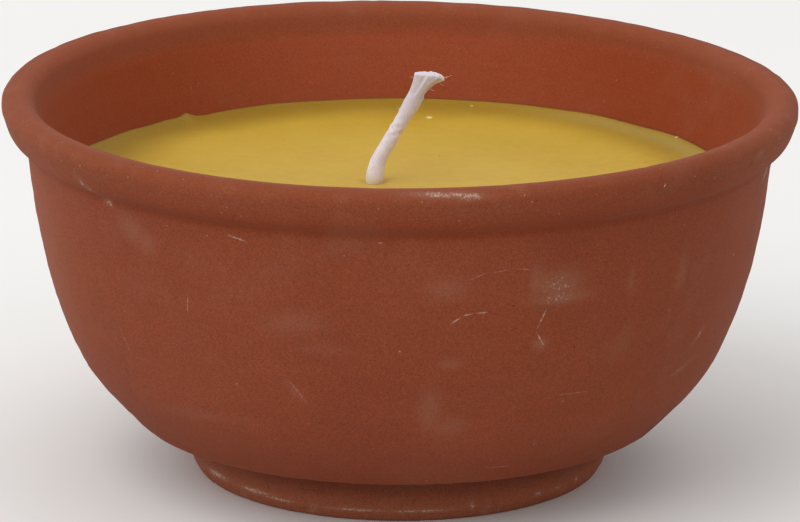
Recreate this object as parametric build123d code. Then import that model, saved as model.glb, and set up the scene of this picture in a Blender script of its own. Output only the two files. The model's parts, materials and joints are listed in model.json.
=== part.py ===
"""A diya in a footed terracotta bowl: solid yellow wax round one cotton wick.

Units are millimetres. The origin is the centre of the face that the foot stands on, +Z is the bowl's axis,
and the wick leans towards +X. Each function makes one sub-part, and each sub-part is its own STEP file.
"""

import math
import os

from build123d import *

# Bowl, outside. Radii are from the axis and heights are from the foot's resting face.
bowl_height = 68.0
rim_face_top = (70.79, bowl_height)  # the corner that the rim's flared face and its flat top would make
rim_face_bottom = (68.8, 61.4)
groove = (65.9, 59.7)  # under the rolled rim
rim_outer_round = 2.2
rim_inner_round = 3.2
rim_lower_round = 4.2
groove_round = 1.4
shoulder_drop = (0.3, 2.1)  # in from the groove and below it, where the body begins
body_profile = [(64.09, 46.4), (60.19, 30.6), (55.18, 19.6)]  # from the groove down
body_bottom = (50.32, 13.8)
arris = (46.74, 10.0)  # where the body turns under towards the foot
arris_round = 4.6

# Foot ring
foot_wall_top = (37.5, 7.8)
foot_wall_bottom = (36.8, 1.8)  # below this the edge is worn back
foot_rest_radius = 35.8
foot_inner_radius = 27.6
recess_radius = 26.0
recess_depth = 3.0
foot_round = 0.7

# Bowl, inside
mouth = (64.85, bowl_height)  # the corner that the lip's flat top and the inner wall would make
wax_level = 51.5  # where the wax meets the wall
wax_radius = 58.7
wax_dish = 0.6  # the poured wax shrinks as it sets, and its middle sinks by this much
wax_flat_radius = 50.5
inner_profile = [(52.4, 34.0), (41.0, 18.6)]  # from the wax level down to the floor
floor_radius = 22.0
floor_height = 11.0

# Wick. It stands a little off the bowl's centre, upright in the wax, and leans towards +X above it.
wick_radius = 1.35
wick_x = -4.5
wick_y = 2.0
wick_route = [(0, 0), (1.5, 5.7), (6.0, 12.6), (8.4, 17.4)]  # across and up from the wax, in the XZ plane
wick_top = (9.75, 20.0)
wick_top_width = 5.5
wick_top_thickness = 2.6
bend_share = 0.45  # of the shorter run, taken by each of the route's arcs

# The flexing point at the wax: a rounded end turns in a cup in the top of the buried wick
cup_clearance = 0.1
stub_depth = 0.85  # the buried wick ends this far below the wax
dimple_radius = 2.2  # the small hollow that the wax leaves round the wick

# Wick sustainer, a stamped tin tab with a neck that grips the wick, and the glue dot that holds it down
dot_radius = 8.5
dot_thickness = 0.8
tab_radius = 10.0
tab_sheet = 0.3
neck_height = 6.0
neck_fillet = 1.0

wax_middle = wax_level - wax_dish
flex_point = Vector(wick_x, wick_y, wax_middle)


def turned(outline):
    """The solid that a closed outline, given as radius and height, sweeps about the Z axis."""
    return revolve(Plane.XZ * make_face(outline), axis=Axis.Z)


def inner_wall():
    """The bowl's inner wall from the wax level down to the edge of its flat floor."""
    wall_slope = Vector(wax_radius - mouth[0], wax_level - mouth[1])
    return Spline(
        (wax_radius, wax_level),
        *inner_profile,
        (floor_radius, floor_height),
        tangents=[wall_slope, Vector(-1, 0)],
    )


def make_bowl():
    """The fired terracotta bowl, with a rolled rim over a soft groove, and a foot ring with a recess."""
    underside = FilletPolyline(
        (0, recess_depth),
        (recess_radius, recess_depth),
        (foot_inner_radius, 0),
        (foot_rest_radius, 0),
        foot_wall_bottom,
        foot_wall_top,
        arris,
        body_bottom,
        radius=[foot_round] * 5 + [arris_round],
    )
    shoulder = (groove[0] - shoulder_drop[0], groove[1] - shoulder_drop[1])
    body = Spline(
        body_bottom,
        *reversed(body_profile),
        shoulder,
        tangents=[Vector(body_bottom) - Vector(arris), Vector(groove) - Vector(shoulder)],
    )
    rim = FilletPolyline(
        shoulder,
        groove,
        rim_face_bottom,
        rim_face_top,
        mouth,
        (wax_radius, wax_level),
        radius=[groove_round, rim_lower_round, rim_outer_round, rim_inner_round],
    )
    floor = Line((floor_radius, floor_height), (0, floor_height))
    axis = Line((0, floor_height), (0, recess_depth))
    return turned(underside + body + rim + inner_wall() + floor + axis)


def standing_cylinder(radius, length, height):
    """A cylinder about the buried wick's upright axis, with its lower end at this height."""
    return Pos(wick_x, wick_y, height) * Cylinder(radius, length, align=(Align.CENTER, Align.CENTER, Align.MIN))


def make_adhesive_dot():
    """The round glue dot between the bowl's floor and the sustainer."""
    return standing_cylinder(dot_radius, dot_thickness, floor_height)


def make_wick_sustainer():
    """A round tab with a raised neck, which the wick passes through."""
    neck_radius = wick_radius + tab_sheet
    outline = FilletPolyline(
        (tab_radius, 0),
        (tab_radius, tab_sheet),
        (neck_radius, tab_sheet),
        (neck_radius, neck_height),
        radius=[0, neck_fillet],
    )
    inside = Polyline((neck_radius, neck_height), (wick_radius, neck_height), (wick_radius, 0), (tab_radius, 0))
    return Pos(wick_x, wick_y, floor_height + dot_thickness) * turned(outline + inside)


def make_wick_buried():
    """The wick from the sustainer's underside up to the flexing point, where its end is a shallow cup."""
    bottom = floor_height + dot_thickness
    length = wax_middle - stub_depth - bottom
    stem = standing_cylinder(wick_radius, length, bottom)
    return stem - Pos(flex_point) * Sphere(wick_radius + cup_clearance)


def route_radii(points):
    """A radius for each corner of a route, as large as its two runs allow."""
    runs = [Vector(*b) - Vector(*a) for a, b in zip(points, points[1:])]
    radii = []
    for before, after in zip(runs, runs[1:]):
        half_turn = math.radians(before.get_angle(after)) / 2
        radii.append(bend_share * min(before.length, after.length) / math.tan(half_turn))
    return radii


def make_wick_exposed():
    """The wick above the wax: a rounded lower end, a gentle double bend, and a flared, level-cut top."""
    radii = route_radii(wick_route)
    route = Plane.XZ * FilletPolyline(*wick_route, radius=radii)
    first_run = Vector(wick_route[1][0], 0, wick_route[1][1])
    last_run = Vector(wick_route[-1][0] - wick_route[-2][0], 0, wick_route[-1][1] - wick_route[-2][1])
    stem = sweep(Plane((0, 0, 0), x_dir=(0, 1, 0), z_dir=first_run) * Circle(wick_radius), path=route)
    stem_end = Plane((wick_route[-1][0], 0, wick_route[-1][1]), x_dir=(0, 1, 0), z_dir=last_run)
    top_plane = Plane((wick_top[0], 0, wick_top[1]), x_dir=(0, 1, 0), z_dir=(0, 0, 1))
    flare = loft(
        [
            stem_end * Circle(wick_radius),
            top_plane * Ellipse(wick_top_thickness / 2, wick_top_width / 2),
        ]
    )
    return Pos(flex_point) * (Sphere(wick_radius) + stem + flare)


def make_wax_fill(embedded):
    """The poured wax: the bowl's cavity up to the slightly dished surface, less what is embedded in it."""
    surface = Line((0, wax_middle), (wax_flat_radius, wax_middle))
    dished_edge = TangentArc((wax_flat_radius, wax_middle), (wax_radius, wax_level), tangent=(1, 0))
    axis = Line((0, wax_middle), (0, floor_height))
    floor = Line((0, floor_height), (floor_radius, floor_height))
    wax = turned(surface + dished_edge + inner_wall() + floor + axis)
    for piece in embedded:
        wax -= piece
    return wax - Pos(flex_point) * Sphere(dimple_radius)


adhesive_dot = make_adhesive_dot()
wick_sustainer = make_wick_sustainer()
wick_buried = make_wick_buried()
nodes = {
    "bowl": make_bowl(),
    "wax_fill": make_wax_fill([adhesive_dot, wick_sustainer, wick_buried]),
    "wick_buried": wick_buried,
    "wick_exposed": make_wick_exposed(),
    "wick_sustainer": wick_sustainer,
    "adhesive_dot": adhesive_dot,
}

os.makedirs("parts", exist_ok=True)
for name, solid in nodes.items():
    export_step(solid, f"parts/{name}.step")
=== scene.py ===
"""Looks of a diya candle: yellow wax and one cotton wick in a footed terracotta bowl.

Blender units are metres, in the CAD frame. Outlines are written in millimetres, as in the CAD source, and MM
turns them into metres where a mesh is made. Azimuths are in degrees: 0 faces the camera and 90 is +X.
"""

import json
import math

import bpy
import numpy as np
from mathutils import Matrix, Vector


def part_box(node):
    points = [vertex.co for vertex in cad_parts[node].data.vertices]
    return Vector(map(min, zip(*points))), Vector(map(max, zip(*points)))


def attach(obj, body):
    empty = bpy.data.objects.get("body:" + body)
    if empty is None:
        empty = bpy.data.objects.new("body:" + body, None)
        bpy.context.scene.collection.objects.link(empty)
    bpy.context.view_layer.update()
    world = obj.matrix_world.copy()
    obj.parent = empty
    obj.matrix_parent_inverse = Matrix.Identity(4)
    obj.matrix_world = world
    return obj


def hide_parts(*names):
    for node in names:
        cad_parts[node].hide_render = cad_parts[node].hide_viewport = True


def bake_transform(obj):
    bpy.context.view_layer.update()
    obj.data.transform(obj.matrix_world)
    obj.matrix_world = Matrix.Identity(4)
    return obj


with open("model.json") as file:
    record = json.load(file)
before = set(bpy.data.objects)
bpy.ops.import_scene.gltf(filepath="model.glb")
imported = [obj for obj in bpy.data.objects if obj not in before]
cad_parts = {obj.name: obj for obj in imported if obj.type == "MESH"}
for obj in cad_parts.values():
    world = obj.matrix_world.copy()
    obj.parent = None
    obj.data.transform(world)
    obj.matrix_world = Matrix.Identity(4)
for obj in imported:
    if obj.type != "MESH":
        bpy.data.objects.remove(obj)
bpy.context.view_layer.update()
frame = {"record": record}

MM = 0.001
FULL_TURN = 2 * math.pi

# Places taken from the CAD frame, in millimetres
BOWL_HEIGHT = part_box("bowl")[1].z / MM
BOWL_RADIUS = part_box("bowl")[1].x / MM
WAX_EDGE_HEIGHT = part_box("wax_fill")[1].z / MM
FLEX_POINT = np.array(frame["record"]["behaviour"]["joints"][0]["pos_m"]) / MM
WICK_X, WICK_Y, WAX_MIDDLE = FLEX_POINT  # where the wick leaves the wax
BOXED_NODES = ("wick_exposed", "wick_buried", "wick_sustainer", "adhesive_dot")
WICK_BOX, BURIED_BOX, SUSTAINER_BOX, DOT_BOX = [np.array(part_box(node)) / MM for node in BOXED_NODES]


# ---- lines and turned shapes


def unit(vector):
    """The vector with a length of 1."""
    vector = np.array(vector, float)
    return vector / np.linalg.norm(vector)


ARC_POINTS = 12
CURVE_POINTS = 24


def rounded_line(corners, rounds):
    """A line through these corners, with an arc of the given radius at each inner one."""
    corners = [np.array(corner, float) for corner in corners]
    line = [corners[0]]
    for before, corner, after, radius in zip(corners, corners[1:], corners[2:], rounds):
        back = unit(before - corner)
        ahead = unit(after - corner)
        half_angle = math.acos(np.dot(back, ahead)) / 2
        centre = corner + unit(back + ahead) * radius / math.sin(half_angle)
        start = corner + back * radius / math.tan(half_angle)
        end = corner + ahead * radius / math.tan(half_angle)
        for share in np.linspace(0, 1, ARC_POINTS):
            spoke = unit((start - centre) * (1 - share) + (end - centre) * share)
            line.append(centre + spoke * radius)
    line.append(corners[-1])
    return np.array(line)


def smooth_line(points, first_tangent, last_tangent):
    """A smooth curve through these points, as cubic pieces that share a tangent where they meet."""
    points = [np.array(point, float) for point in points]
    lengths = [np.linalg.norm(b - a) for a, b in zip(points, points[1:])]
    slopes = [(b - a) / length for a, b, length in zip(points, points[1:], lengths)]
    tangents = [unit(first_tangent)]
    for k in range(1, len(lengths)):
        blended = slopes[k - 1] * lengths[k] + slopes[k] * lengths[k - 1]
        tangents.append(blended / (lengths[k - 1] + lengths[k]))
    tangents.append(unit(last_tangent))
    curve = []
    for k, length in enumerate(lengths):
        for t in np.linspace(0, 1, CURVE_POINTS, endpoint=False):
            from_start = (1 + 2 * t) * (1 - t) ** 2 * points[k] + t * (1 - t) ** 2 * length * tangents[k]
            from_end = t**2 * (3 - 2 * t) * points[k + 1] - t**2 * (1 - t) * length * tangents[k + 1]
            curve.append(from_start + from_end)
    curve.append(points[-1])
    return np.array(curve)


def distances_along(line):
    """How far along a line each of its points is."""
    steps = np.linalg.norm(np.diff(line, axis=0), axis=1)
    return np.concatenate([[0], np.cumsum(steps)])


def respaced(line, spacing):
    """The same line as evenly spaced points about this far apart, without its last one."""
    along = distances_along(line)
    count = max(1, round(along[-1] / spacing))
    even = np.linspace(0, along[-1], count, endpoint=False)
    return np.stack([np.interp(even, along, line[:, axis]) for axis in range(line.shape[1])], axis=1)


def directions(line):
    """The direction along a line at each of its points."""
    along = np.gradient(line, axis=0)
    return along / np.linalg.norm(along, axis=1, keepdims=True)


def outward(outline):
    """The outward direction at each point of an outline that runs up a turned shape's outside."""
    along = directions(outline)
    return np.stack([along[:, 1], -along[:, 0]], axis=1)


def smooth_step(value, low, high):
    """0 below low, 1 above high, and an S-shaped rise between them."""
    t = np.clip((value - low) / (high - low), 0, 1)
    return t * t * (3 - 2 * t)


def bell(distance, reach):
    """1 at no distance, falling away smoothly on both sides, to almost nothing at twice the reach."""
    return np.exp(-((distance / reach) ** 2))


def soft_noise(azimuth, along, count, round_waves, wavelength, rng):
    """Seeded lumps that close up round a turned shape, about 1 high: a sum of cosines in both directions."""
    total = np.zeros(np.broadcast(azimuth, along).shape)
    for _ in range(count):
        waves = rng.integers(0, round_waves + 1)
        slant = rng.uniform(-1, 1) * FULL_TURN / wavelength
        phase = rng.uniform(0, FULL_TURN)
        total += np.cos(waves * azimuth + slant * along + phase)
    return total / math.sqrt(count / 2)


def angle_between(azimuth, degrees):
    """How far each azimuth is from this one, in radians, between minus and plus half a turn."""
    apart = azimuth - math.radians(degrees)
    return (apart + math.pi) % FULL_TURN - math.pi


def around(segments):
    """Evenly spaced azimuths all the way round, as one row."""
    return np.linspace(0, FULL_TURN, segments, endpoint=False)[None, :]


def placed(radius, azimuth, height):
    """Points from a radius, an azimuth and a height."""
    across = radius * np.sin(azimuth)
    back = -radius * np.cos(azimuth)
    return np.stack(np.broadcast_arrays(across, back, height), axis=-1)


def ring_faces(rings, segments, first=0):
    """Faces between neighbouring rings of points, numbered ring by ring."""
    faces = []
    for ring in range(rings - 1):
        low = first + ring * segments
        high = low + segments
        for k in range(segments):
            after = (k + 1) % segments
            faces.append((low + k, low + after, high + after, high + k))
    return faces


def cap_faces(centre, ring_start, segments, facing_up):
    """A fan from one centre point to a ring."""
    faces = []
    for k in range(segments):
        here = ring_start + k
        after = ring_start + (k + 1) % segments
        faces.append((here, after, centre) if facing_up else (centre, after, here))
    return faces


def new_piece(name, points, faces, material):
    """A smooth-shaded mesh object from points in millimetres."""
    mesh = bpy.data.meshes.new(name)
    mesh.from_pydata((np.array(points) * MM).tolist(), [], faces)
    mesh.shade_smooth()
    mesh.materials.append(material)
    piece = bpy.data.objects.new(name, mesh)
    bpy.context.scene.collection.objects.link(piece)
    return piece


def turned_piece(name, grid, low_centre, high_centre, material):
    """A closed shape from rings of points, with a point on the axis below the first and above the last."""
    rings, segments = grid.shape[:2]
    points = [low_centre, *grid.reshape(-1, 3), high_centre]
    last_ring = 1 + (rings - 1) * segments
    faces = cap_faces(0, 1, segments, facing_up=False)
    faces += ring_faces(rings, segments, first=1)
    faces += cap_faces(len(points) - 1, last_ring, segments, facing_up=True)
    return new_piece(name, points, faces, material)


def set_attribute(piece, name, grid_values, low_value, high_value):
    """Stores one number per point of a turned piece, for its material to read."""
    values = [low_value, *np.ravel(grid_values), high_value]
    attribute = piece.data.attributes.new(name, "FLOAT", "POINT")
    attribute.data.foreach_set("value", np.array(values, np.float32))


# ---- material nodes


class Shader:
    """A node material, painted and embossed layer by layer, with a short call for each kind of node."""

    def __init__(self, name, colour):
        self.material = bpy.data.materials.new(name)
        self.material.use_nodes = True
        self.tree = self.material.node_tree
        self.surface = self.tree.nodes["Principled BSDF"]
        self.place = self.add("TexCoord").outputs["Object"]
        self.across, self.back, self.up = self.add("SeparateXYZ", {0: self.place}).outputs
        self.colour = colour
        self.relief = None

    def add(self, kind, inputs=None, **settings):
        """A new node; each input is a number, a colour or another node's output."""
        node = self.tree.nodes.new("ShaderNode" + kind)
        for name, value in settings.items():
            setattr(node, name, value)
        for name, value in (inputs or {}).items():
            self.feed(node.inputs[name], value)
        return node

    def feed(self, socket, value):
        """Links an output to a socket, or sets the socket's own value."""
        if isinstance(value, bpy.types.NodeSocket):
            self.tree.links.new(value, socket)
        else:
            socket.default_value = value

    def math(self, operation, *values, clamp=False):
        node = self.add("Math", dict(enumerate(values)), operation=operation, use_clamp=clamp)
        return node.outputs[0]

    def times(self, a, b, clamp=False):
        return self.math("MULTIPLY", a, b, clamp=clamp)

    def paint(self, share, colour, blend="MIX"):
        """A share of a colour, an output or red, green and blue from 0 to 1, over what is there so far."""
        node = self.add("Mix", {0: share}, data_type="RGBA", blend_type=blend)
        for socket, value in ((node.inputs[6], self.colour), (node.inputs[7], colour)):
            self.feed(socket, value if isinstance(value, bpy.types.NodeSocket) else (*value, 1.0))
        self.colour = node.outputs[2]

    def noise(self, feature_mm, detail=2.0, roughness=0.5, stretch=None):
        """Noise from 0 to 1 whose features are about this many millimetres across."""
        source = self.place
        if stretch:
            source = self.add("Mapping", {"Vector": source, "Scale": stretch}).outputs[0]
        inputs = {"Vector": source, "Scale": 1 / (feature_mm * MM), "Detail": detail, "Roughness": roughness}
        return self.add("TexNoise", inputs).outputs[0]

    def ramp(self, value, low, high, to_low=0.0, to_high=1.0):
        """A smooth, clamped map of low..high onto to_low..to_high."""
        inputs = {"Value": value, 1: low, 2: high, 3: to_low, 4: to_high}
        return self.add("MapRange", inputs, interpolation_type="SMOOTHSTEP").outputs[0]

    def specks(self, spacing_mm, share, size):
        """Small round dots: one in each of a share of cells, with radii that vary up to size, in cells."""
        scale = 1 / (spacing_mm * MM)
        cells = self.add("TexVoronoi", {"Vector": self.place, "Scale": scale}, feature="F1")
        pick = self.add("SeparateColor", {0: cells.outputs["Color"]})
        chosen = self.math("LESS_THAN", pick.outputs[0], share)
        radius = self.math("MULTIPLY_ADD", pick.outputs[1], size * 0.6, size * 0.4)
        near = self.math("DIVIDE", cells.outputs["Distance"], radius)
        return self.times(chosen, self.ramp(near, 0.6, 1.0, 1.0, 0.0))

    def marks(self, flat, spots):
        """Masks from 0 to 1 of the pale and of the dark thin marks on a flat map, both in millimetres."""
        masks = {True: 0.0, False: 0.0}
        for across, along, half_length, half_width, tilt, strength in spots:
            inputs = {
                "Vector": flat,
                "Location": (across, along, 0),
                "Rotation": (0, 0, math.radians(tilt)),
                "Scale": (half_length, half_width, 1),
            }
            local = self.add("Mapping", inputs, vector_type="TEXTURE").outputs[0]
            spot = self.add("TexGradient", {0: local}, gradient_type="SPHERICAL").outputs[1]
            mask = self.times(self.ramp(spot, 0.0, 0.7), abs(strength))
            masks[strength > 0] = self.math("MAXIMUM", masks[strength > 0], mask)
        return masks[True], masks[False]

    def attribute(self, name):
        return self.add("Attribute", attribute_name=name).outputs["Fac"]

    def emboss(self, height, strength, distance_mm):
        """Relief from a height of 0 to 1, on top of what is there so far."""
        inputs = {"Height": height, "Strength": strength, "Distance": distance_mm * MM}
        if self.relief is not None:
            inputs["Normal"] = self.relief
        self.relief = self.add("Bump", inputs).outputs[0]

    def finished(self, inputs):
        """The material, with its colour, its relief and these other inputs of its surface."""
        inputs["Base Color"] = self.colour
        if self.relief is not None:
            inputs["Normal"] = self.relief
        for name, value in inputs.items():
            self.feed(self.surface.inputs[name], value)
        return self.material


def srgb(red, green, blue):
    """A colour given as 0 to 255 display values, in Blender's linear values."""
    channels = np.array([red, green, blue]) / 255
    linear = np.where(channels <= 0.04045, channels / 12.92, ((channels + 0.055) / 1.055) ** 2.4)
    return tuple(float(value) for value in linear)


# ---- terracotta bowl: shape

RIM_FACE_TOP = (70.79, BOWL_HEIGHT)
RIM_FACE_BOTTOM = (68.8, 61.4)
GROOVE = (65.9, 59.7)
SHOULDER = (65.6, 57.6)
BODY_BOTTOM = (50.32, 13.8)
BODY = [BODY_BOTTOM, (55.18, 19.6), (60.19, 30.6), (64.09, 46.4), SHOULDER]
ARRIS = (46.74, 10.0)
FOOT_TOP = (37.5, 7.8)
FOOT_WEAR = (36.8, 1.8)
FOOT_REST = [(27.6, 0.0), (35.8, 0.0)]
RECESS = [(24.0, 3.0), (26.0, 3.0)]
MOUTH = (64.85, BOWL_HEIGHT)
WAX_LINE = (58.7, WAX_EDGE_HEIGHT)
CAVITY = [WAX_LINE, (52.4, 34.0), (41.0, 18.6), (22.0, 11.0)]
FLOOR_HEIGHT = 11.0
FOOT_ROUNDS = [0.7, 0.7, 0.7, 0.7, 0.7, 4.6]
RIM_ROUNDS = [1.4, 4.2, 2.0, 3.2]

BOWL_SEGMENTS = 336
RECESS_SPACING = 1.5
FOOT_SPACING = 0.45
BODY_SPACING = 0.62
RIM_SPACING = 0.42
CAVITY_SPACING = 2.4
FLOOR_SPACING = 3.0

WALL_SLOPE = (WAX_LINE[0] - MOUTH[0], WAX_LINE[1] - MOUTH[1])


def bowl_outline():
    """The bowl's outline from the middle of its underside, up, over the rim and down to its floor."""
    foot_corners = [*RECESS, *FOOT_REST, FOOT_WEAR, FOOT_TOP, ARRIS, BODY_BOTTOM]
    rim_corners = [SHOULDER, GROOVE, RIM_FACE_BOTTOM, RIM_FACE_TOP, MOUTH, WAX_LINE]
    body_start = np.subtract(BODY_BOTTOM, ARRIS)
    body_end = np.subtract(GROOVE, SHOULDER)
    sections = [
        (np.array([(0.0, RECESS[0][1]), RECESS[0]]), RECESS_SPACING),
        (rounded_line(foot_corners, FOOT_ROUNDS), FOOT_SPACING),
        (smooth_line(BODY, body_start, body_end), BODY_SPACING),
        (rounded_line(rim_corners, RIM_ROUNDS), RIM_SPACING),
        (smooth_line(CAVITY, WALL_SLOPE, (-1, 0)), CAVITY_SPACING),
        (np.array([CAVITY[-1], (0.0, FLOOR_HEIGHT)]), FLOOR_SPACING),
    ]
    outline = np.concatenate([respaced(line, spacing) for line, spacing in sections])
    return outline[1:]


OUTLINE = bowl_outline()
RUN = distances_along(OUTLINE)
RIM_TOP_INDEX = int(np.argmax(OUTLINE[:, 1]))
OUTSIDE = np.arange(len(OUTLINE)) <= RIM_TOP_INDEX
OUTER_START = int(np.argmax(OUTLINE[:, 0] > FOOT_REST[1][0]))


def run_at(height):
    """How far along the outline the outside reaches this height."""
    outer = slice(OUTER_START, RIM_TOP_INDEX)
    return float(np.interp(height, OUTLINE[outer, 1], RUN[outer]))


# How the fired bowl departs from a true turned shape, in millimetres
WARP_TILT = 0.0061  # the -X side of the rim stands higher,
WARP_TWIST = 0.00012  # and more so at the back
WARP_LOW = 22.0
WARP_HIGH = 62.0
LUMP = 0.06
HAND_MARK = 0.020
TURNING_LINE = 0.015
# Their noises: how many waves, the most waves round the bowl, and the shortest wavelength up it
LUMPS = (28, 5, 26.0)
HAND_MARKS = (90, 55, 4.5)
TURNING_LINES = (40, 2, 1.6)
CHIPS = (120, 90, 6.0)
FOOT_CHIP = 0.35
FOOT_EDGE_HEIGHT = 1.2
FOOT_EDGE_REACH = 1.0
FOOT_WORN_ABOVE = 0.05  # the resting face itself stays flat
ARRIS_REACH = 1.3
RIM_REACH = 2.0
RIM_WORN_BEYOND = 60.0
RELIEF_FADE = (0.4, 4.0)  # the relief starts and is full at these heights
BOWL_SEED = 11
ARRIS_WEAR = 0.06
RIM_WEAR = 0.04
ARRIS_PALENESS = 0.12  # how pale the worn edges are, as a share of the foot's
RIM_PALENESS = 0.15
CHIPPED_ABOVE = 0.7  # only the highest lumps of the noise become chips
INSIDE_RELIEF = 0.5  # the inside is smoother than the outside by this share
RIM_LIMIT = BOWL_RADIUS - 0.04


def warp(across, back, height):
    """How far the rim's warp lifts a point."""
    share = smooth_step(height, WARP_LOW, WARP_HIGH)
    return -across * (WARP_TILT + WARP_TWIST * back) * share


def build_bowl(material):
    rng = np.random.default_rng(BOWL_SEED)
    azimuth = around(BOWL_SEGMENTS)
    run = RUN[:, None]
    radius = OUTLINE[:, :1]
    height = OUTLINE[:, 1:]
    away = outward(OUTLINE)

    above_rest = smooth_step(height, *RELIEF_FADE)
    inside = (~OUTSIDE)[:, None]
    relief = LUMP * soft_noise(azimuth, run, *LUMPS, rng)
    relief += HAND_MARK * soft_noise(azimuth, run, *HAND_MARKS, rng)
    relief += TURNING_LINE * soft_noise(azimuth, run, *TURNING_LINES, rng)
    relief *= above_rest * np.where(inside, INSIDE_RELIEF, 1.0)

    chips = np.maximum(0, soft_noise(azimuth, run, *CHIPS, rng) - CHIPPED_ABOVE)
    foot_edge = bell(run - run_at(FOOT_EDGE_HEIGHT), FOOT_EDGE_REACH) * (height > FOOT_WORN_ABOVE)
    arris_edge = bell(run - run_at(ARRIS[1]), ARRIS_REACH)
    rim_edge = bell(height - BOWL_HEIGHT, RIM_REACH) * (radius > RIM_WORN_BEYOND)
    relief -= chips * (FOOT_CHIP * foot_edge + ARRIS_WEAR * arris_edge + RIM_WEAR * rim_edge)

    radius = np.minimum(radius + relief * away[:, :1], RIM_LIMIT)
    height = np.maximum(height + relief * away[:, 1:], 0)
    across = radius * np.sin(azimuth)
    back = -radius * np.cos(azimuth)
    height = height + warp(across, back, height)

    grid = placed(radius, azimuth, height)
    low = (0, 0, RECESS[0][1])
    high = (0, 0, FLOOR_HEIGHT)
    piece = turned_piece("terracotta_bowl", grid, low, high, material)
    set_attribute(piece, "run", np.broadcast_to(run, radius.shape), RUN[0], RUN[-1])
    set_attribute(piece, "dust", dust_and_sheen_on(azimuth, run), 0, 0)
    set_attribute(piece, "inside", np.broadcast_to(inside.astype(float), radius.shape), 0, 1)
    worn = chips * (foot_edge + ARRIS_PALENESS * arris_edge + RIM_PALENESS * rim_edge)
    set_attribute(piece, "wear", np.clip(worn, 0, 1), 0, 0)
    return piece


# Dusty patches on the outside, and one broad, faint patch of painted sheen on the far left: azimuth, height,
# half length, half width, tilt in degrees, strength
DUST_AND_SHEEN = [
    (6, 67.6, 6.8, 0.9, -3, 0.82),
    (9.8, 67.2, 2.4, 0.9, 0, 0.86),
    (2.5, 67.9, 1.2, 0.5, 0, 0.6),
    (-51, 61.8, 2.6, 0.8, -50, 0.8),
    (-48.6, 59, 0.9, 0.9, 0, 1),
    (-44, 55.5, 3.8, 2.6, -20, 0.42),
    (-41, 53.5, 2.2, 2, 0, 0.4),
    (20.9, 50, 1.2, 3.6, 0, 0.5),
    (25, 46.9, 5.6, 1.3, 0, 0.6),
    (24.5, 49.2, 4.8, 3, 0, 0.54),
    (22.3, 38.6, 1.3, 1.1, 0, 0.6),
    (7, 50, 3.6, 2.2, 0, 0.38),
    (8, 36, 1.8, 0.9, 0, 0.4),
    (-16, 43, 5.5, 2.4, 8, 0.34),
    (-12, 38.5, 5, 1.2, 0, 0.22),
    (5, 27, 2, 4.5, 0, 0.42),
    (8.5, 23.5, 3, 2.5, 0, 0.36),
    (-17, 30, 3.2, 0.7, -55, 0.4),
    (61.5, 65.5, 1.8, 0.6, 10, 0.5),
    (76, 57.8, 2.4, 0.8, 35, 0.9),
    (80, 55.5, 0.9, 1.9, 0, 0.6),
    (37.5, 47.8, 0.3, 2.4, 0, 0.3),
    (48.5, 47, 1.2, 4, 0, 0.35),
    (57.9, 32.9, 1.8, 0.5, 50, 0.8),
    (56, 27, 2.6, 0.8, 15, 0.4),
    (-37, 22, 9, 1.2, 4, 0.22),
    # painted sheen, where the far left of the body turns away, not dust
    (-74, 44, 9, 15, 0, 0.2),
    (-60, 2.9, 4.2, 0.7, 0, 0.95),
    (-43, 2.6, 4.6, 0.55, 0, 0.95),
    (-34, 2.1, 3.4, 0.4, 0, 0.9),
    (-12, 2.1, 6, 0.4, 0, 0.85),
    (6, 2.1, 7, 0.4, 0, 0.85),
    (20.4, 2.6, 0.7, 1.2, 0, 0.75),
    (41.5, 2.5, 1, 0.5, 0, 0.9),
    (48.7, 2.5, 1.4, 0.5, 0, 0.6),
    (57.6, 2.6, 0.7, 0.8, 0, 0.8),
    (118, 40, 6, 3, 20, 0.5),
    (142, 58, 4, 1, -30, 0.6),
    (165, 30, 5, 5, 0, 0.35),
    (-165, 48, 7, 2.2, 10, 0.4),
    (-128, 33, 3, 4, 0, 0.45),
    (-104, 62.5, 2.5, 0.8, 0, 0.7),
    (-98, 22, 5, 1.5, 12, 0.35),
    (100, 2.4, 5, 0.6, 0, 0.8),
    (150, 2.2, 4, 0.5, 0, 0.7),
    (-120, 2.3, 5.5, 0.6, 0, 0.8),
    (-165, 2.4, 2.5, 0.7, 0, 0.8),
]


def dust_and_sheen_on(azimuth, run):
    """How dusty each point of the bowl is, from 0 to 1, with the far left's patch of painted sheen counted
    in.
    """
    dust = np.zeros(np.broadcast(azimuth, run).shape)
    for degrees, height, half_length, half_width, tilt, strength in DUST_AND_SHEEN:
        here = run_at(height)
        reach = np.interp(here, RUN, OUTLINE[:, 0])
        across = angle_between(azimuth, degrees) * reach
        along = run - here
        turn = math.radians(tilt)
        length_share = (across * math.cos(turn) + along * math.sin(turn)) / half_length
        width_share = (along * math.cos(turn) - across * math.sin(turn)) / half_width
        dust = np.maximum(dust, strength * np.exp(-((length_share**2 + width_share**2) ** 1.3)))
    return dust


# ---- terracotta bowl: material

CLAY = srgb(129, 61, 34)
CLAY_LIGHT = srgb(138, 68, 41)
CLAY_DARK = srgb(119, 53, 29)
CLAY_SOAKED = srgb(148, 69, 39)  # the inner wall, where wax has soaked in
# painted glow: the yellow wax's light thrown onto the sides of the inner wall
CLAY_WAX_GLOW = srgb(138, 58, 22)
CLAY_BEVEL_HIGHLIGHT = srgb(142, 70, 43)  # the rounded inner edge of the lip, paler: painted highlight
CLAY_RIM = srgb(125, 60, 34)
# painted shade, for the groove under the rim and for the lower body, which both face down
CLAY_UNDER_SHADE = srgb(116, 46, 8)
CLAY_FOOT = srgb(143, 78, 52)
CLAY_DARKEST = srgb(90, 36, 18)  # the foot, in the shelter of the body
FOOT_SHADE = 0.66
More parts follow.
